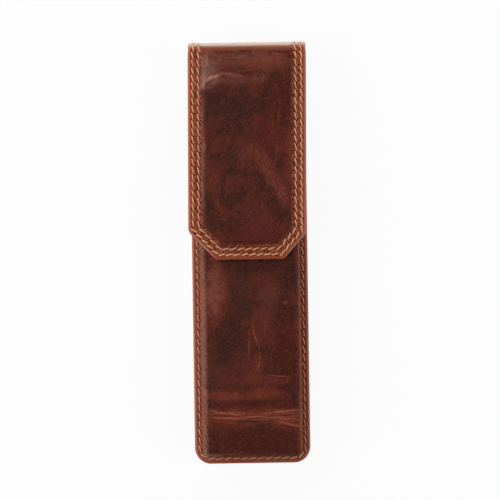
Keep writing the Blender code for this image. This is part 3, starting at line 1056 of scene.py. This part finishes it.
flapMarks = [
    cloud("dark", -7, 55, 15, 12, 90, 0.7),
    cloud("dark", -2.5, 57, 12, 9, 10, 0.85),
    cloud("dark", -9, 37.5, 6, 4.5, 0, 0.75),
    cloud("dark", -5, 22.5, 7.5, 6, 80, 0.85),
    cloud("dark", -12, 12.5, 7, 5, 60, 0.75),
    cloud("wine", 14, 58.5, 15, 7, 90, 0.85),
    cloud("burgundy", 9, 45, 12, 8, 90, 0.6),
    cloud("burgundy", 5, 5, 16, 8, 0, 0.8),
    cloud("red", 7, 14, 11, 7, 90, 0.16),
    cloud("red", 17.8, 36, 19, 3.2, 90, 0.6),
    cloud("red", -12.7, 28, 5, 4, 90, 0.45),
    cloud("red", -10.8, 19.2, 5.5, 1.8, -61, 0.4),
    cloud("orange", 3, 74.5, 18, 5.4, -6, 0.36),
    cloud("rust", -3, 67.5, 14, 3.2, -3, 0.4),
    # painted sheen and highlights: the pale patches at the flap's upper left, and the pale strip down the
    # left slope of its raised field
    cloud("pale", -15.5, 71.5, 10, 7, 90, 0.5),
    strokes("bloom", -15.0, 73.5, 8, 4, 90, 0.3, 0.12, 0.9, 0.8),
    cloud("bloom", -17.0, 66.5, 4.5, 2.2, 60, 0.55),
    cloud("pale", -17.3, 40, 34, 1.6, 90, 0.4),
    # dark lines in the fine wrinkles below the fold: painted shade in their folds
    ridges("dark", 4, 77.4, 20, 1.5, -1, 0.6, 0.05, 0.9, -1.0),
    ridges("orange", 0.9, 77.2, 27, 3.0, 0, 0.5, 0.045, 0.7, 0.6),
    strokes("red", 3, 73.0, 18, 2.8, -3, 0.8, 0.06, 0.6, 0.5),
    strand("red", 2, 71.2, 8, 0.9, 4, 0.9, 1.0, 0.8),
    # a painted highlight along the pale wrinkle at the upper left
    strand("bloom", -13.4, 67.6, 6.5, 1.0, 28, 0.9, 2.4, 0.9),
    strand("rust", -7.0, 69.3, 8.5, 1.1, -3, 0.9, 1.8, 0.7),
    ridges("orange", 4.7, 68.6, 3.6, 2.4, 30, 0.5, 0.3, 0.6, 0.8),
    cloud("red", 5.0, 38.0, 10, 4, -38, 0.38),
    cloud("red", 10.2, 30.0, 11, 3.8, -58, 0.5),
    cloud("red", 15.0, 21.5, 8, 3.2, -58, 0.45),
    strokes("rose", 7.2, 34.2, 12, 4.2, -60, 0.46, 0.14, 1.7, 0.8),
    strokes("rose", 13.2, 24.0, 9, 4, -56, 0.42, 0.16, 1.6, 0.8),
    strokes("rose", -1.0, 39.0, 6, 5.5, -60, 0.34, 0.16, 1.7, 0.9),
    strokes("dark", 2.0, 36.0, 13, 7, -62, 0.45, 0.15, 1.5, -0.9),
    strokes("rose", -8.8, 13.8, 3.4, 3.2, -68, 0.3, 0.25, 1.5, 0.9),
    strokes("red", 12, 50, 28, 6, 90, 0.45, 0.06, 0.8, 0.4),
    strokes("red", -8, 24, 12, 5, 85, 0.4, 0.1, 0.9, 0.4),
    strokes("dark", -10, 12, 5, 3.0, 60, 0.7, 0.2, 0.8, -0.8),
]
bodyMarks = [
    cloud("red", -13, -14.5, 17, 6.5, 90, 0.75),
    cloud("rust", -13.6, -13.8, 14, 5.2, 88, 0.7),
    cloud("smoky", -2.5, -12, 19, 6, 90, 0.75),
    cloud("dark", 5.0, -4.8, 18, 3.8, 0, 0.8),
    cloud("dark", 17.4, -9.5, 9, 4, 90, 0.75),
    cloud("rust", 7.5, -18.5, 14, 6, 82, 0.22),
    cloud("dark", -10.0, -35.0, 11, 10, 90, 0.92),
    cloud("smoky", -14.5, -46, 9, 5, 90, 0.6),
    cloud("wine", 14.5, -38, 24, 6.5, 88, 0.75),
    cloud("wine", 3.0, -58.5, 23, 2.8, 0, 0.85),
    cloud("dark", 0, -73, 28, 7.5, 0, 0.85),
    cloud("wine", 3, -73, 24, 7.5, 0, 0.7),
    ridges("orange", -15.6, -26.2, 3.2, 1.2, 5, 0.6, 0.2, 0.6, 0.6),
    cloud("orange", 14.2, -18.9, 1.8, 1.2, 20, 0.35),
    strokes("red", 1.5, -34, 17, 5.4, 92, 0.6, 0.06, 0.8, 0.5),
    strand("rose", 2.2, -32.0, 7.5, 0.45, -76, 0.6, 1.5, 0.8),
    strand("rose", 3.2, -42.0, 5.5, 0.45, -97, 0.5, 1.2, 0.7),
    strand("rose", -0.6, -36.5, 6.5, 0.4, -91, 0.35, 1.0, -0.3),
    strand("rose", 6.0, -28.0, 4.5, 0.4, -88, 0.28, 1.0),
    strand("smoky", 1.6, -35.5, 7, 0.5, -84, 0.5, -1.2, 1.4),
    ridges("pale", 3.7, -44.5, 2.6, 2.2, 80, 0.3, 0.25, 0.9, 1.0),
    ridges("red", 1.5, -48.4, 12, 2.0, 3, 0.6, 0.05, 0.6, 1.2),
    cloud("red", 6.5, -49.0, 14, 2.6, 0, 0.45),
    strand("rose", 10.9, -47.2, 5.4, 0.45, 0, 0.6, 1.2, -0.2),
    cloud("red", -11, -55.2, 11, 3.0, 2, 0.85),
    cloud("red", 4, -54.6, 9, 3.0, 0, 0.75),
    ridges("orange", -6.5, -54.7, 2.6, 2.0, 35, 0.5, 0.4, 0.9, 0.8),
    ridges("orange", 3.6, -54.8, 2.6, 1.8, -30, 0.45, 0.4, 0.9, 0.8),
    cloud("red", 0.4, -62.9, 30, 4.4, 0, 0.85),
    cloud("red", 13, -65.4, 12, 3.2, -8, 0.7),
    cloud("rust", -13, -61.8, 11, 2.2, -8, 0.3),
    cloud("rust", 15, -62.0, 9, 2.2, 6, 0.3),
    ridges("orange", 0.4, -62.9, 29, 3.8, 0, 0.6, 0.03, 0.7, 1.6),
    strand("crease", -10.2, -61.2, 8.5, 0.55, -8, 0.85, 2.4, 0.2),
    strand("crease", -10.0, -63.5, 9, 0.5, 0, 0.75, 2.4, -0.2),
    strand("crease", 1.2, -62.9, 7.5, 0.5, 0, 0.9, 2.4, 0.8),
    strand("crease", 13.5, -64.0, 10, 0.45, -2, 0.75, 2.2, -0.2),
    strand("crease", 13.5, -61.0, 9, 0.55, 6, 0.8, 2.2, 0.2),
    strand("orange", 6.0, -61.9, 6, 0.45, 4, 0.55, 1.8, -0.3),
    strand("crease", 14.5, -66.1, 7.5, 0.55, -11, 0.75, 1.8, 0.3),
    strand("red", -11.5, -65.2, 8, 0.8, -6, 0.6, 1.2, 0.4),
    # dark strands in the folds between the crease bundle's ridges: painted shade
    strand("dark", -10.5, -62.35, 6.5, 0.42, -3, 0.85, -1.6),
    strand("dark", 14, -62.5, 5.5, 0.5, 2, 0.85, -1.6),
    strand("dark", -1.0, -65.0, 6, 1.0, 1, 0.9, -2.2),
    strand("dark", 6.5, -65.2, 5, 0.45, -4, 0.8, -1.6),
    strand("dark", 15, -67.6, 6, 0.6, -11, 0.7, -1.4),
    strand("red", -9, -77.4, 10, 0.6, 0, 0.8),
]

# the back is not in the photograph: plain, with the same wear and painted sheen at the fold
backMarks = [
    cloud("dark", -6, 30, 30, 11, 85, 0.7),
    cloud("burgundy", 9, -20, 36, 9, 90, 0.6),
    cloud("smoky", -4, -58, 16, 8, 10, 0.6),
    cloud("red", 4, 58, 15, 8, 20, 0.4),
    strokes("rose", -5, 6, 13, 5, 58, 0.35, 0.14, 1.6, 0.8),
    strand("rose", 8, 34, 9, 0.5, 74, 0.45, 1.2, 0.9),
]


def drawMark(paint, place, spec, ragged):
    # one patch, strand or bundle of strokes or ridges
    along, across = spec["reach"]
    values = {"Vector": place, "Location": spec["place"], "Rotation": (0, 0, math.radians(spec["turn"]))}
    local = paint.add("ShaderNodeMapping", {"vector_type": "TEXTURE"}, values)
    shares = paint.stretch(local, (1 / along, 1 / across, 0))
    if spec["bow"]:
        x, y = paint.part(shares, 0), paint.part(shares, 1)
        shares = paint.add("ShaderNodeCombineXYZ", {}, {0: x, 1: y + x * x * (spec["bow"] / across)})
    length = paint.add("ShaderNodeVectorMath", {"operation": "LENGTH"}, {0: shares}, output=1)
    if spec["grain"] == "strand":
        return paint.fall(length + ragged * 0.5, 0.15, 1.1) * spec["strength"]
    window = paint.fall(length + ragged, 0.2, 1.05)
    if spec["grain"] == "cloud":
        return window * spec["strength"]
    lines = paint.noise(paint.stretch(local, spec["turns"]), 1.0, 3, 0.55, 0.25)
    if spec["grain"] == "strokes":
        return window * paint.step(lines, 0.47, 0.62) * spec["strength"]
    return window * paint.fall(abs(lines - 0.5), 0.0, 0.06) * spec["strength"]


# What differs between the three leather pieces, with lengths in millimetres: the rows and pitch of the
# stitches, the lowest edge, the band at the fold, worn and painted with a sheen, the band up the tray's
# shoulder, how strongly painted shade darkens the leather the thread draws in and how widely it is drawn in,
# how dark the painted shade in its holes is, and the tones beside the edge, the lit one a painted highlight
skins = {
    "front": {
        "marks": bodyMarks, "rows": [pocket["seam"] / mm], "pitch": stitch["body"]["pitch"] / mm,
        "low": bottom / mm, "shoulder": (2.6, 4.4, 6.4), "rippleShade": 0.25, "holes": 0.1, "spread": 0.6,
        "border": "russet", "lit": "drawn",
    },
    "flap": {
        "marks": flapMarks, "rows": [margin / mm for margin in strip["seams"]],
        "pitch": stitch["flap"]["pitch"] / mm, "low": flapLow.y / mm,
        "wornAndLitBand": (-1.0, 0.8, 2.7, 6.0, 9.0), "wearAndSheen": 1.0, "rippleShade": 0.7, "holes": 0.5, "spread": 0.0,
        "border": "cognac", "lit": "crumple",
    },
}
skins["back"] = {
    **skins["flap"], "marks": backMarks, "rows": skins["front"]["rows"], "pitch": skins["front"]["pitch"],
    "low": bottom / mm, "wornAndLitBand": (-1.2, 0.6, 2.2, 4.0, 5.0), "wearAndSheen": 0.6,
}


def leatherPaint(name):
    skin = skins[name]
    rows, shoulder, wearAndSheen = skin["rows"], skin.get("shoulder"), skin.get("wearAndSheen")
    paint = newPaint(name + "_leather_finish")
    flat = paint.attribute("flat", output=1)
    place = paint.vectorMaths("SCALE", flat, 1000)
    along, level = paint.part(place, 1), paint.part(place, 2)
    edge = paint.attribute("edge") * 1000

    # tones: clouds over the whole skin, with faint fibres along it
    clouds = paint.noise(place, 0.075, 3, 0.55, 0.5)
    blots = paint.noise(place, 0.22, 4, 0.6, 0.5)
    fine = paint.noise(place, 0.8, 4, 0.7, 0.3)
    fibre = paint.noise(paint.stretch(place, (0.9, 0.25, 0.9)), 1.0, 3, 0.55, 0.6)
    tone = clouds * 0.66 + blots * 0.28 + fibre * 0.12 + fine * 0.18
    colour = paint.mix(paint.step(tone, 0.53, 0.69), tones["dark"], tones["body"])
    colour = paint.mix(paint.step(blots + fibre * 0.35, 0.70, 0.90) * 0.55, colour, tones["burgundy"])

    # the marks' outlines wander
    drift = paint.add("ShaderNodeTexNoise", {}, {"Vector": place, "Scale": 0.13, "Detail": 1}, output=1)
    drift = paint.vectorMaths("SCALE", paint.vectorMaths("SUBTRACT", drift, (0.5, 0.5, 0.5)), 2.6)
    loose = paint.vectorMaths("ADD", place, drift)
    ragged = (blots - 0.5) * 1.6 + (fine - 0.5) * 0.7
    relief = fine * 0.8 + fibre * 0.5
    for spec in skin["marks"]:
        factor = drawMark(paint, loose, spec, ragged)
        colour = paint.mix(factor, colour, tones[spec["tone"]])
        if spec["lift"]:
            relief = relief + factor * spec["lift"]
    pores = paint.noise(place, 1.9, 4, 0.7, 0.3)
    scuffs = paint.noise(paint.stretch(place, (1.25, 0.34, 1), 32), 1.0, 3, 0.6, 0.5)
    nicks = paint.noise(paint.stretch(place, (0.42, 1.3, 1), 18), 1.0, 3, 0.6, 0.5)
    # for each pattern: where it turns light and by how much, then where it turns dark and by how much
    flecks = (
        (scuffs, (0.54, 0.66), 0.42, (0.34, 0.46), 0.40),
        (nicks, (0.56, 0.70), 0.36, (0.30, 0.42), 0.36),
        (pores, (0.50, 0.66), 0.55, (0.36, 0.50), 0.60),
    )
    for pattern, lightRange, light, darkRange, dark in flecks:
        colour = paint.mix(paint.step(pattern, *lightRange) * light, colour, tones["red"])
        colour = paint.mix(paint.fall(pattern, *darkRange) * dark, colour, tones["dark"])

    # the border is paler, and the edge is burnished
    border = paint.fall(edge + ragged * 1.5, rows[-1] - 0.2, rows[-1] + 2.4)
    if shoulder:
        # the tray's walls stand under a narrow band of the outline, and keep the plain tone
        onWall = paint.step(level, -15.8, -13.6) * paint.fall(level, -2.8, -1.2)
        border = border * (1 - onWall * 0.85)
    colour = paint.mix(border * 0.72, colour, tones[skin["border"]])
    # painted shade: the paler rim and tip fade towards the bottom edge, which faces away from the light
    litAboveFoot = paint.step(along, skin["low"], skin["low"] + 4, 0.2, 1)
    rim = paint.fall(edge + (blots - 0.5) * 0.8, 1.1, rows[0] - 0.2) * litAboveFoot
    colour = paint.mix(rim * 0.75, colour, tones[skin["border"]])
    if shoulder:
        # the band up the shoulder is paler, partly stretched leather and partly a painted highlight, so it
        # is strong on the left side only, where the light falls
        start, full, end = shoulder
        shoulderStretchAndSheen = paint.step(edge, start, start + 0.8) * paint.fall(edge, full, end) * (1 - onWall)
        mottled = paint.step(fine + pores * 0.5, 0.62, 0.88, 0.2, 0.7)
        leftHighlightSide = paint.step(paint.part(place, 0), -14, -10, 1, 0.1)
        colour = paint.mix(shoulderStretchAndSheen * mottled * leftHighlightSide, colour, tones["pale"])
        crumpled = paint.fall(edge + ragged * 1.5, start, full + 1) * (1 - onWall * 0.85)
        colour = paint.mix(crumpled * paint.step(fine, 0.36, 0.54, 0.2, 0.7), colour, tones["russet"])
    if wearAndSheen:
        # a golden band over the fold, and a bare one where it turns, partly worn leather and partly a
        # painted sheen where the fold catches the light; the far sides are ragged
        begin, goldenFull, bareFull, bareEnd, goldenEnd = [foldY / mm + step for step in skin["wornAndLitBand"]]
        fromTurn = along + (fibre - 0.5) * 0.25 + (blots - 0.5) * 0.25
        toBack = along + ragged * 1.6
        goldenWearAndSheen = paint.step(fromTurn, begin, goldenFull) * paint.fall(toBack, bareFull, goldenEnd)
        colour = paint.mix(goldenWearAndSheen * (0.70 * wearAndSheen), colour, tones["orange"])
        bareWearAndSheen = paint.step(fromTurn, goldenFull, bareFull) * paint.fall(toBack, bareFull, bareEnd)
        colour = paint.mix(bareWearAndSheen * (0.95 * wearAndSheen), colour, tones["tan"])

    # needle slits, painted as shade in the holes, and the leather drawn in beside the thread
    spread = skin["spread"]
    slits = None
    for row, runName in zip(rows, ("runOuter", "runInner")):
        run = paint.attribute(runName)
        # from the needle hole: along the seam and away from it, then turned with the slit
        ahead = ((run + 0.5).maths("FRACT") - 0.5) * skin["pitch"]
        aside = edge - row
        first = ahead * 0.77 - aside * 0.64
        second = ahead * 0.64 + aside * 0.77
        slit = paint.fall((first / 0.55) ** 2.0 + (second / 0.24) ** 2.0, 0.5, 1.4)
        slits = slit if slits is None else slits + slit
        space = paint.add("ShaderNodeCombineXYZ", {}, {0: run * skin["pitch"], 1: edge})
        ripples = paint.noise(paint.stretch(space, (1.35, 0.60, 1), 32), 1.0, 3, 0.55, 0.6)
        drawn = paint.fall(abs(aside - 0.3 - spread), 0.5 + spread, 1.8 + spread)
        if shoulder:
            drawn = drawn * paint.fall(level, -15.9, -14.6)
        if wearAndSheen:
            drawn = drawn * (1 - bareWearAndSheen * 0.7)
        # painted shade in the dips of the ripples, and a painted highlight, the skin's lit tone, on their
        # crests
        colour = paint.mix(drawn * paint.step(ripples, 0.50, 0.58) * skin["rippleShade"], colour, tones["dark"])
        colour = paint.mix(drawn * paint.fall(ripples, 0.40, 0.49) * 0.85, colour, tones[skin["lit"]])
        relief = relief + drawn * (0.5 - ripples) * 6.0
    if wearAndSheen:
        slits = slits * (1 - bareWearAndSheen * 0.5)
    # painted shade in the needle holes
    colour = paint.mix(slits * skin["holes"], colour, tones["hole"])
    # the palest tip of the edge: partly its raw edge colour, partly a painted highlight
    tip = paint.fall(edge + (fine - 0.5) * 0.4, 0.35, 1.0)
    colour = paint.mix(tip * litAboveFoot * 0.6, colour, tones["rawEdgeAndHighlight"])

    # the flesh side, and the cut edge between
    grainSide = paint.step(paint.attribute("face"), 0.02, 0.2)
    colour = paint.mix(grainSide, tones["flesh"], colour)

    rough = 0.46 + 0.10 * blots + 0.08 * fine
    if shoulder:
        rough = rough + shoulderStretchAndSheen * 0.35
    settings, values = {"feature": "DISTANCE_TO_EDGE"}, {"Vector": place, "Scale": 1.6}
    pebbles = paint.step(paint.add("ShaderNodeTexVoronoi", settings, values), 0.0, 0.14)
    normal = paint.bump(relief + pebbles * 0.18 + pores * 0.4, 0.09 * mm, 0.6)
    normal = paint.bump(slits * -1.0, 0.2 * mm, 0.6, normal)
    paint.set(Base_Color=colour, Roughness=rough, Normal=normal, Specular_IOR_Level=0.11)
    return paint.owner


threads = {
    # the darkest and the palest tone
    "waxed": ((0.54, 0.215, 0.105), (0.82, 0.43, 0.245)),
    "handled": ((0.54, 0.225, 0.125), (0.78, 0.41, 0.25)),
}


def threadPaint(name):
    paint = newPaint(name + "_thread_finish")
    ply = paint.add("ShaderNodeTexCoord", output=2)
    twist = ((paint.part(ply, 0) * 2 + paint.part(ply, 1) * 5) * 6.2832).maths("SINE")
    fuzz = paint.noise(paint.objectPlace(), 900, 3)
    colour = paint.mix(paint.noise(paint.objectPlace(), 160, 2), *threads[name])
    # painted shade in the grooves between the twisted plies
    colour = paint.mix(paint.step(twist, -1.0, -0.2, 0.45, 0), colour, (0.20, 0.07, 0.03))
    normal = paint.bump(twist + fuzz * 0.6, 0.05 * mm, 0.7)
    paint.set(Base_Color=colour, Roughness=0.5 + 0.2 * fuzz, Normal=normal, Specular_IOR_Level=0.4)
    return paint.owner


def suedePaint(name, laidFlat=False):
    # laid flat, its pattern is that of the sheet before it was folded
    paint = newPaint(name)
    place = paint.attribute("flat", output=1) if laidFlat else paint.objectPlace()
    place = paint.vectorMaths("SCALE", place, 1000)
    nap = paint.noise(place, 5.0, 4, 0.7)
    brushed = paint.noise(paint.stretch(place, (0.25, 0.6, 0.4)), 1.0, 4, 0.6, 0.8)
    colour = paint.mix(brushed, (0.045, 0.022, 0.014), (0.100, 0.052, 0.034))
    colour = paint.mix(nap * 0.5, colour, (0.065, 0.034, 0.022))
    normal = paint.bump(nap + brushed * 0.8, 0.12 * mm, 0.8)
    paint.set(Base_Color=colour, Roughness=0.86 + 0.1 * nap, Normal=normal)
    paint.set(Specular_IOR_Level=0.15, Sheen_Weight=0.2, Sheen_Roughness=0.4, Sheen_Tint=(0.9, 0.55, 0.4))
    return paint.owner


def boardPaint():
    paint = newPaint("fibre_board_finish")
    place = paint.objectPlace()
    flecks = paint.noise(place, 1400, 4, 0.7)
    pressed = paint.noise(paint.stretch(place, (300, 60, 300)), 1.0, 4, 0.6)
    colour = paint.mix(pressed, (0.24, 0.18, 0.13), (0.36, 0.28, 0.21))
    colour = paint.mix(paint.step(flecks, 0.6, 0.7), colour, (0.12, 0.08, 0.06))
    paint.set(Base_Color=colour, Roughness=0.8 + 0.1 * flecks, Normal=paint.bump(flecks, 0.1 * mm, 0.5))
    return paint.owner


def steelPaint():
    paint = newPaint("magnet_steel_finish")
    place = paint.objectPlace()
    brushed = paint.noise(paint.stretch(place, (200, 6000, 200)), 1.0, 4, 0.6)
    colour = paint.mix(brushed, (0.50, 0.50, 0.51), (0.62, 0.62, 0.64))
    normal = paint.bump(brushed, 0.02 * mm, 0.4)
    paint.set(Base_Color=colour, Roughness=0.25 + 0.15 * brushed, Normal=normal, Metallic=1.0)
    return paint.owner


def dress(obj, material):
    obj.data.materials.clear()
    obj.data.materials.append(material)


# Floor, lights and camera

studio = {
    "floorSize": 8.0,
    "floorLevel": -0.1 * mm,
    "sky": ((0.0, 1.0), (0.12, 0.95), (0.34, 0.38), (0.60, 0.22), (1.0, 0.04)),
    "key": {"place": (-0.60, 0.45, 0.75), "size": (0.6, 0.6), "power": 4.5},
    "top": {"place": (0.0, 0.95, 0.22), "size": (0.9, 0.30), "power": 6.5},
    "left": {"place": (-0.80, -0.2, 0.35), "size": (0.35, 1.5), "power": 5.5},
    "right": {"place": (0.80, -0.20, 0.36), "size": (0.5, 1.3), "power": 4.4},
}


def makeFloor():
    deselect()
    bpy.ops.mesh.primitive_plane_add(size=studio["floorSize"], location=(0, 0, studio["floorLevel"]))
    floor = bpy.context.object
    floor.name = "floor"
    paint = newPaint("floor_paper")
    tooth = paint.noise(paint.objectPlace(), 400, 2)
    paint.set(Base_Color=paint.mix(tooth, (0.82, 0.82, 0.82), (0.86, 0.86, 0.86)), Roughness=0.9)
    # to the camera, mirrors and glass it glows nearly white, with a little of its own shade
    camera, glossy, clear = (paint.add("ShaderNodeLightPath", output=number) for number in (0, 3, 6))
    glow = paint.add("ShaderNodeEmission", {}, {"Color": (1, 1, 1), "Strength": 1.0})
    paper = Signal(paint, paint.shader.outputs[0])
    both = paint.add("ShaderNodeMixShader", {}, {0: (camera + glossy + clear) * 0.92, 1: paper, 2: glow})
    paint.feed(paint.tree.nodes["Material Output"].inputs[0], both)
    dress(floor, paint.owner)


def makeWorld():
    # white at the horizon and dark overhead, so the leather's flat faces stay deep
    world = bpy.data.worlds.new("studio")
    bpy.context.scene.world = world
    paint = Paint(world, "Background")
    height = paint.part(paint.add("ShaderNodeTexCoord"), 2)
    stops = [(place, (level,) * 3) for place, level in studio["sky"]]
    paint.set(Color=paint.add("ShaderNodeValToRGB", {"stops": stops}, {0: height}))


def makeLights():
    for name in ("key", "top", "left", "right"):
        spec = studio[name]
        lamp = bpy.data.lights.new(name, "AREA")
        lamp.shape = "RECTANGLE"
        lamp.size, lamp.size_y = spec["size"]
        lamp.energy = spec["power"]
        obj = bpy.data.objects.new(name, lamp)
        bpy.context.scene.collection.objects.link(obj)
        obj.location = spec["place"]
        obj.rotation_euler = (-Vector(spec["place"])).to_track_quat("-Z", "Y").to_euler()


# the photograph looks straight down on the case, which leans a little in it
view = {
    "imageSize": 500,
    "scaleAtFlange": 2.522,
    "flangeLevel": 2 * mm,
    "distance": 760 * mm,
    "centre": (0.50 * mm, 1.55 * mm),
    "lean": 0.87,
    "sensor": 36,
}


def makeCamera():
    data = bpy.data.cameras.new("camera")
    data.sensor_width = view["sensor"]
    pixelsPerMetre = view["scaleAtFlange"] / mm
    data.lens = view["sensor"] * pixelsPerMetre * view["distance"] / view["imageSize"]
    data.clip_start = 0.05
    camera = bpy.data.objects.new("camera", data)
    bpy.context.scene.collection.objects.link(camera)
    camera.location = (*view["centre"], view["flangeLevel"] + view["distance"])
    camera.rotation_euler = (0, 0, -math.radians(view["lean"]))
    bpy.context.scene.camera = camera


def main():
    makeCamera()
    tray = makeTray()
    print("front: moulded, creased and scooped", len(tray.data.vertices))
    flapStrip = makeFlapStrip()
    print("flap strip: cut, raised and folded", len(flapStrip.data.vertices))
    backStrip = makeBackStrip()
    print("back strip: folded", len(backStrip.data.vertices))
    linings = makeLinings()
    print("linings: turned inside the folds")
    seams = makeSeams()
    print("seams: sewn", [piece.name for piece in seams])

    for piece, name in ((tray, "front"), (flapStrip, "flap"), (backStrip, "back")):
        dress(piece, leatherPaint(name))
    stripSuede = suedePaint("strip_suede_finish", laidFlat=True)
    for piece in linings:
        dress(piece, stripSuede)
    waxed, handled = threadPaint("waxed"), threadPaint("handled")
    for piece in seams:
        dress(piece, handled if piece.name in ("body_stitches", "back_stitches") else waxed)
    suede, board, steel = suedePaint("suede_finish"), boardPaint(), steelPaint()
    kept = (
        (suede, ("front_lining", "pen_divider")), (steel, ("front_magnet", "flap_magnet")),
        (board, ("front_board", "back_board", "spine_board", "flap_board")),
    )
    for material, names in kept:
        for name in names:
            dress(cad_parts[name], material)
    print("finishes: painted")
    makeFloor()
    makeWorld()
    makeLights()
    print("studio: lit")


main()
bpy.context.scene.view_settings.view_transform = "Standard"
